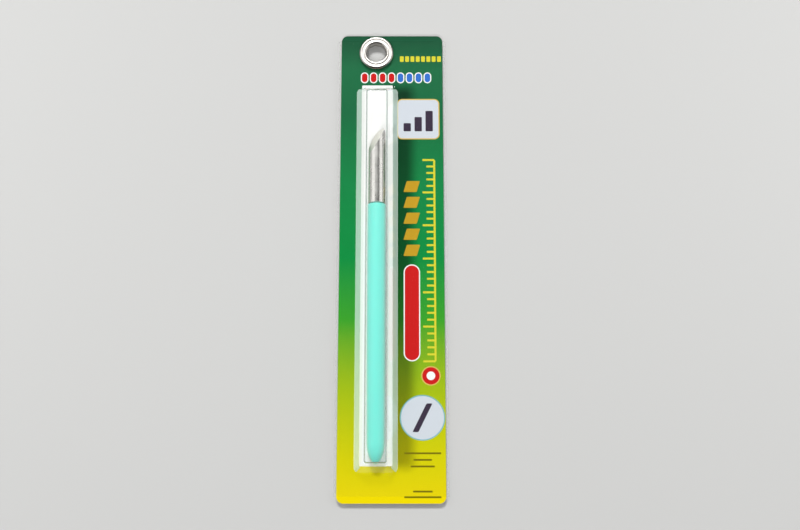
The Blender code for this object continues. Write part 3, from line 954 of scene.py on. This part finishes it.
def smooth_through(points, steps):
    """A smooth curve through the points, with this many steps between each two."""
    ends = [points[0], *points, points[-1]]
    line = []
    for a, b, c, d in zip(ends, ends[1:], ends[2:], ends[3:]):
        for i in range(steps):
            t = i / steps
            line.append(tuple(
                0.5 * (2 * q + (r - p) * t + (2 * p - 5 * q + 4 * r - s) * t**2 + (3 * q - p - 3 * r + s) * t**3)
                for p, q, r, s in zip(a, b, c, d)
            ))
    return [*line, points[-1]]


def build_bright_eyelet():
    rim = SHEET_TOP + SEAT_GAP
    crown = eyelet_high.z - rim
    foot = eyelet_low.z
    rings = [(EYELET_BORE_RADIUS + BACK_LIP_WIDTH, foot)]
    turn_radius = EYELET_BORE_RADIUS + BACK_LIP_ROUNDING
    rings += arc(turn_radius, foot + BACK_LIP_ROUNDING, BACK_LIP_ROUNDING, -90, -180, CURVE_STEPS)
    for share, rise in smooth_through(FLANGE_SECTION, CURVE_STEPS):
        rings.append((EYELET_BORE_RADIUS + FLANGE_WIDTH * share, rim + crown * rise))
    piece = stack_rings("bright_eyelet", rings)
    select_all()
    move(EYELET_X, EYELET_Y)
    turn_outwards()
    thicken(piece, EYELET_METAL)
    return piece


def build_back_ring():
    """Four corners with a small chamfer each, from the bore's foot up, out over the top and down the outside."""
    inner, outer = CLEAR_HOLE_RADIUS + RING_CHAMFER, (washer_high.x - washer_low.x) / 2 - RING_CHAMFER
    low, high = washer_low.z + RING_CHAMFER, washer_high.z - RING_CHAMFER
    rings = []
    for radius, height, start in ((inner, low, 270), (inner, high, 180), (outer, high, 90), (outer, low, 0)):
        rings += arc(radius, height, RING_CHAMFER, start, start - 90, CHAMFER_STEPS)
    piece = stack_rings("back_ring", rings)
    select("EDGE", lambda edge: edge.is_boundary)
    bpy.ops.mesh.bridge_edge_loops()
    select_all()
    move(EYELET_X, EYELET_Y)
    turn_outwards()
    leave_edit_mode()
    return piece


bright_eyelet = build_bright_eyelet()
back_ring = build_back_ring()

# %% [markdown]
# ### Nickel plate
# Plated metal that was drawn in a press is bright and a little warm. Fine rings run round the bore from the tool
# that set it, and the plate is darker and duller in a ring along the dip.

# %% Plate the eyelet and its ring
DIP_RADIUS = EYELET_BORE_RADIUS + FLANGE_WIDTH / 2
DIP_RING_REACH = (0.0002, 0.0011)  # from the middle of the dip, where the darker ring starts to fade and where it ends
DIP_RING_DEPTH = 0.45
DIP_RING_DULLING = 0.2


def make_nickel():
    material, tree, shader, place = new_material("Nickel plate", (0.74, 0.71, 0.67), roughness=0.2, metallic=1.0)
    from_bore = add_vector_math(tree, "SUBTRACT", place, (EYELET_X, EYELET_Y, 0))
    radius = add_vector_math(tree, "LENGTH", add_vector_math(tree, "MULTIPLY", from_bore, IN_PLANE))
    rings = use_group(tree, drawn_lines, Place=join(tree, radius), Density=(9000, 1, 1))
    off_dip = add_math(tree, "ABSOLUTE", add_math(tree, "SUBTRACT", radius, DIP_RADIUS))
    # The plate is darker and duller in a ring along the dip.
    dip_ring_falloff = remap(tree, off_dip, DIP_RING_REACH, (DIP_RING_DEPTH, 0.0), interpolation_type="SMOOTHSTEP")
    patches = add_noise(tree, place, scale=420.0, detail=4.0)
    dip_ring = add_math(tree, "MULTIPLY", dip_ring_falloff, remap(tree, patches, source=(0.3, 0.7), target=(0.5, 1.0)))
    colour = blend(tree, dip_ring, low=(0.58, 0.555, 0.52), high=(0.47, 0.43, 0.4))
    shine = use_group(tree, uneven_shine, Place=place, Patch_Size=0.002, Gloss=0.29, Dull=0.34)
    dulled = add_math(tree, "MULTIPLY_ADD", dip_ring, DIP_RING_DULLING, shine)
    dress(tree, shader, rings, strength=0.35, distance=0.00001, Base_Color=colour, Roughness=dulled)
    return material


nickel = make_nickel()
for piece, node in ((bright_eyelet, "eyelet"), (back_ring, "eyelet_washer")):
    piece.data.materials.append(nickel)
    finish_piece(piece, "pack", node, smooth_degrees=40)

# %% [markdown]
# ## The steel bar
# The scraper's blade is a plain round bar of tool steel. Inside the handle it is turned down to a thinner tang. Its
# front end is rounded, and one slanted face is then ground across it with a wheel, so the face is slightly hollow
# and its rim is a curved cutting edge. The bar is stacked from rings and the wheel is a cylinder lying along the
# face. A Boolean takes away what the wheel would grind away, which is exactly how the real face is made.

# %% Turn the bar and grind its face
SHOULDER_Y = grip_high.y + SEAT_GAP
TANG_END_Y = bar_low.y
TANG_RADIUS = 0.0025
TANG_CHAMFER = 0.0005
SHOULDER_CHAMFER = 0.00015
END_FLAT_RADIUS = 0.0023
END_ROUNDING = 0.0027
END_STEPS = 16
FACE_ANGLE = math.radians(28)
FACE_ROLL = math.radians(33)
POINT_TRIM = 0.003
WHEEL_RADIUS = 0.02
WHEEL_SIDES = 360
WHEEL_OVERRUN = 0.004

FACE_OUTWARD = Vector((-math.cos(FACE_ROLL), 0, math.sin(FACE_ROLL)))
BAR_AXIS = Vector((0, 1, 0))
FACE_NORMAL = FACE_OUTWARD * math.cos(FACE_ANGLE) + BAR_AXIS * math.sin(FACE_ANGLE)
FACE_ALONG = BAR_AXIS * math.cos(FACE_ANGLE) - FACE_OUTWARD * math.sin(FACE_ANGLE)
FACE_MIDDLE = Vector((TOOL_X, TIP_Y + POINT_TRIM - BAR_RADIUS / math.tan(FACE_ANGLE), TOOL_Z))
WHEEL_MIDDLE = FACE_MIDDLE + FACE_NORMAL * math.sqrt(WHEEL_RADIUS**2 - BAR_RADIUS**2)


def is_ground(face):
    """True for a face of the bar that lies on the wheel's surface."""
    from_wheel = face.calc_center_median() - WHEEL_MIDDLE
    across = from_wheel - FACE_ALONG * from_wheel.dot(FACE_ALONG)
    return across.length < WHEEL_RADIUS + HAIR


def build_bar():
    rings = [(TANG_RADIUS - TANG_CHAMFER, TANG_END_Y), (TANG_RADIUS, TANG_END_Y + TANG_CHAMFER)]
    rings += [(TANG_RADIUS, SHOULDER_Y), (BAR_RADIUS - SHOULDER_CHAMFER, SHOULDER_Y)]
    rings += [(BAR_RADIUS, SHOULDER_Y + SHOULDER_CHAMFER)]
    for i in range(END_STEPS + 1):
        angle = math.pi / 2 * (1 - i / END_STEPS)
        radius = END_FLAT_RADIUS + (BAR_RADIUS - END_FLAT_RADIUS) * math.sin(angle)
        rings.append((radius, TIP_Y - END_ROUNDING * (1 - math.cos(angle))))
    piece = stack_rings("scraper_bar", rings)
    bpy.ops.mesh.edge_face_add()
    close_end(TANG_END_Y, TANG_END_Y)
    turn_outwards()
    lay_along_y(piece)
    return piece


def grind_face(piece):
    choose()
    bpy.ops.mesh.primitive_cylinder_add(
        vertices=WHEEL_SIDES,
        radius=WHEEL_RADIUS,
        depth=2 * (BAR_RADIUS / math.sin(FACE_ANGLE) + WHEEL_OVERRUN),
        location=WHEEL_MIDDLE,
        rotation=FACE_ALONG.to_track_quat("Z", "Y").to_euler(),
    )
    wheel = bpy.context.object
    apply_modifier(piece, "BOOLEAN", operation="DIFFERENCE", solver="EXACT", object=wheel)
    bpy.data.objects.remove(wheel, do_unlink=True)


scraper_bar = build_bar()
grind_face(scraper_bar)
print("tip at y in mm:", round(max(v.co.y for v in scraper_bar.data.vertices) * 1000, 2))

# %% [markdown]
# ### Two finishes on one piece of steel
# The round part was polished while it turned, so its fine marks run round it. The slanted face was ground by a
# wheel, so its marks run across it. Both are the same steel, and both use the same group of drawn lines.

# %% Polish the bar and finish its ground face
def make_bar_steel():
    material, tree, shader, place = new_material("Polished steel", (0.66, 0.64, 0.6), roughness=0.16, metallic=1.0)
    marks = use_group(tree, drawn_lines, Place=place, Density=(60, 7000, 60))
    tone = blend(tree, marks, low=(0.76, 0.74, 0.7), high=(0.9, 0.88, 0.84))
    shine = use_group(tree, uneven_shine, Place=place, Patch_Size=0.004, Gloss=0.26, Dull=0.32)
    dress(tree, shader, marks, strength=0.25, distance=0.00001, Base_Color=tone, Roughness=shine)
    return material


def make_ground_steel():
    """The pattern's axes are turned so that the marks run across the face, at right angles to its length."""
    material, tree, shader, place = new_material("Ground steel", (0.7, 0.68, 0.62), roughness=0.28, metallic=1.0)
    axes = (FACE_ALONG.cross(FACE_NORMAL), FACE_ALONG)
    on_face = join(tree, *(add_vector_math(tree, "DOT_PRODUCT", place, tuple(axis)) for axis in axes))
    marks = use_group(tree, drawn_lines, Place=on_face, Density=(150, 14000, 1))
    tone = blend(tree, marks, low=(0.72, 0.7, 0.64), high=(0.92, 0.9, 0.84))
    shine = remap(tree, marks, source=(0.3, 0.7), target=(0.24, 0.38))
    dress(tree, shader, marks, strength=0.5, distance=0.00002, Base_Color=tone, Roughness=shine)
    return material


scraper_bar.data.materials.clear()
scraper_bar.data.materials.append(make_bar_steel())
paint_faces(scraper_bar, make_ground_steel(), is_ground)
finish_piece(scraper_bar, "scraper", "blade", smooth_degrees=20)

# %% [markdown]
# ## The handle
# The handle is moulded in turquoise plastic round nothing: it has a bore, and the tang is pressed into it. It is
# pencil-thick, has a small rounding at its mouth, a slight taper behind and a rounded nose. All of it is one stack
# of rings, from the bottom of the bore, out over the mouth and down the outside to the nose.

# %% Turn the handle
BORE_RADIUS = TANG_RADIUS + SEAT_GAP
BORE_END_Y = TANG_END_Y - SEAT_GAP
REAR_RADIUS = 0.00395
PARALLEL_LENGTH = 0.066
MOUTH_ROUNDING = 0.0005
NOSE_LENGTH = 0.008
NOSE_POWER = 1.6  # 2 would make the nose half an ellipse, and less makes it more pointed
NOSE_STEPS = 28
MOUTH_STEPS = 8


def build_handle():
    mouth_y = grip_high.y
    rings = [(BORE_RADIUS, BORE_END_Y), (BORE_RADIUS, mouth_y - MOUTH_ROUNDING / 2)]
    rings += [(BORE_RADIUS + MOUTH_ROUNDING / 2, mouth_y)]
    rings += arc(GRIP_RADIUS - MOUTH_ROUNDING, mouth_y - MOUTH_ROUNDING, MOUTH_ROUNDING, 90, 0, MOUTH_STEPS)
    rings.append((GRIP_RADIUS, mouth_y - PARALLEL_LENGTH))
    for i in range(NOSE_STEPS):
        back = math.sin(math.pi / 2 * i / NOSE_STEPS)
        radius = REAR_RADIUS * math.sqrt(1 - back**NOSE_POWER)
        rings.append((radius, grip_low.y + NOSE_LENGTH * (1 - back)))
    piece = stack_rings("turquoise_handle", rings)
    close_end(grip_low.y, rings[-1][1])
    close_end(BORE_END_Y, BORE_END_Y)
    turn_outwards()
    lay_along_y(piece)
    return piece


turquoise_handle = build_handle()
print("handle from y to y in mm:", [round(side * 1000, 1) for side in (grip_low.y, grip_high.y)])

# %% [markdown]
# ### Moulded turquoise plastic
# The plastic is coloured all through and comes satin out of its mould. Light goes a little way into it, its tone
# drifts very slightly along its length, and handling leaves soft glossier patches.

# %% Colour the handle
def make_turquoise_plastic():
    material, tree, shader, place = new_material("Turquoise plastic", (0.2, 0.87, 0.74), roughness=0.4)
    flow = use_group(tree, drawn_lines, Place=place, Density=(260, 24, 260))
    tone = blend(tree, flow, low=(0.18, 0.84, 0.7), high=(0.22, 0.9, 0.78))
    shine = use_group(tree, uneven_shine, Place=place, Patch_Size=0.006, Gloss=0.36, Dull=0.5)
    grain = add_noise(tree, place, scale=2200.0, detail=2.0)
    dress(tree, shader, grain, strength=0.15, distance=0.00002, Base_Color=tone, Roughness=shine, Sheen_Weight=0.9)
    shader.inputs["Subsurface Weight"].default_value = 0.25
    shader.inputs["Subsurface Radius"].default_value = (0.3, 1.0, 0.9)
    shader.inputs["Subsurface Scale"].default_value = 0.001
    return material


turquoise_handle.data.materials.append(make_turquoise_plastic())
finish_piece(turquoise_handle, "scraper", "handle_grip", smooth_degrees=30)

# %% [markdown]
# ## Floor, light and camera
# The pack lies on a plain pale floor. Two soft lamps shine from beyond the card's top, the stronger one a little
# from the left and the weaker one a little from the right, and a broad one from beyond its bottom fills the shade
# below the dome and lights the handle's nose. That one doesn't show in anything glossy, or it would draw a line along
# the dome's foot that the photograph doesn't have. Two weak lamps stand beside the pack, the left one higher than the
# right one. They light the dome's walls and rails from the side, and they draw the bright bands along the steel. No
# lamp is near the spot above the pack that the flat sheet would mirror into the lens. The camera looks down at 78
# degrees, as the photograph does.

# %% Floor
FLOOR_SIZE = 3.0
FLOOR_Z = -0.0002

choose()
bpy.ops.mesh.primitive_plane_add(size=FLOOR_SIZE, location=(0, 0, FLOOR_Z))
floor = bpy.context.object
floor.name = "pale_floor"
floor.data.materials.append(new_material("Pale matt floor", (0.56, 0.56, 0.55), roughness=0.85)[0])
print("floor:", floor.name)

# %% Lamps
LAMP_AIM = Vector((0, 0, 0))
# (name, place, width, height, power in watts, whether it shows in glossy surfaces)
LAMPS = (
    ("top_left_softbox", (-0.28, 1.62, 1.75), 0.4, 0.4, 35.0, True),
    ("top_right_softbox", (0.28, 1.62, 1.75), 0.4, 0.4, 11.0, True),
    ("foot_softbox", (-0.1, -1.5, 1.75), 1.1, 0.7, 23.0, False),
    ("low_left_softbox", (-0.42, 0.1, 0.34), 0.5, 0.5, 0.95, True),
    ("low_right_softbox", (0.42, 0.1, 0.25), 0.5, 0.36, 0.7, True),
)
SKY_COLOUR = (0.95, 0.97, 1.0)
SKY_STRENGTH = 0.04

for name, place, width, height, power, shines in LAMPS:
    bpy.ops.object.light_add(type="AREA", location=place)
    lamp = bpy.context.object
    lamp.name = name
    lamp.data.shape = "RECTANGLE"
    lamp.data.size = width
    lamp.data.size_y = height
    lamp.data.energy = power
    lamp.visible_glossy = shines
    lamp.rotation_euler = (Vector(place) - LAMP_AIM).to_track_quat("Z", "Y").to_euler()

world = bpy.context.scene.world or bpy.data.worlds.new("Studio")
bpy.context.scene.world = world
world.use_nodes = True
sky = world.node_tree.nodes["Background"]
sky.inputs["Color"].default_value = (*SKY_COLOUR, 1)
sky.inputs["Strength"].default_value = SKY_STRENGTH
bpy.context.scene.view_settings.view_transform = "Standard"
print("lamps:", len(LAMPS))

# %% Camera
CAMERA_PLACE = Vector((0.00376, -0.0986, 0.4519))
CAMERA_AIM = Vector((0.00376, -0.00295, 0.0019))
CAMERA_LENS = 45.9  # in millimetres, as the sensor's width
SENSOR_WIDTH = 36
NEAREST = 0.01

bpy.ops.object.camera_add(location=CAMERA_PLACE)
camera = bpy.context.object
camera.data.lens = CAMERA_LENS
camera.data.sensor_width = SENSOR_WIDTH
camera.data.clip_start = NEAREST
camera.rotation_euler = (CAMERA_PLACE - CAMERA_AIM).to_track_quat("Z", "Y").to_euler()
bpy.context.scene.camera = camera
print("camera's distance in mm:", round((CAMERA_PLACE - CAMERA_AIM).length * 1000))
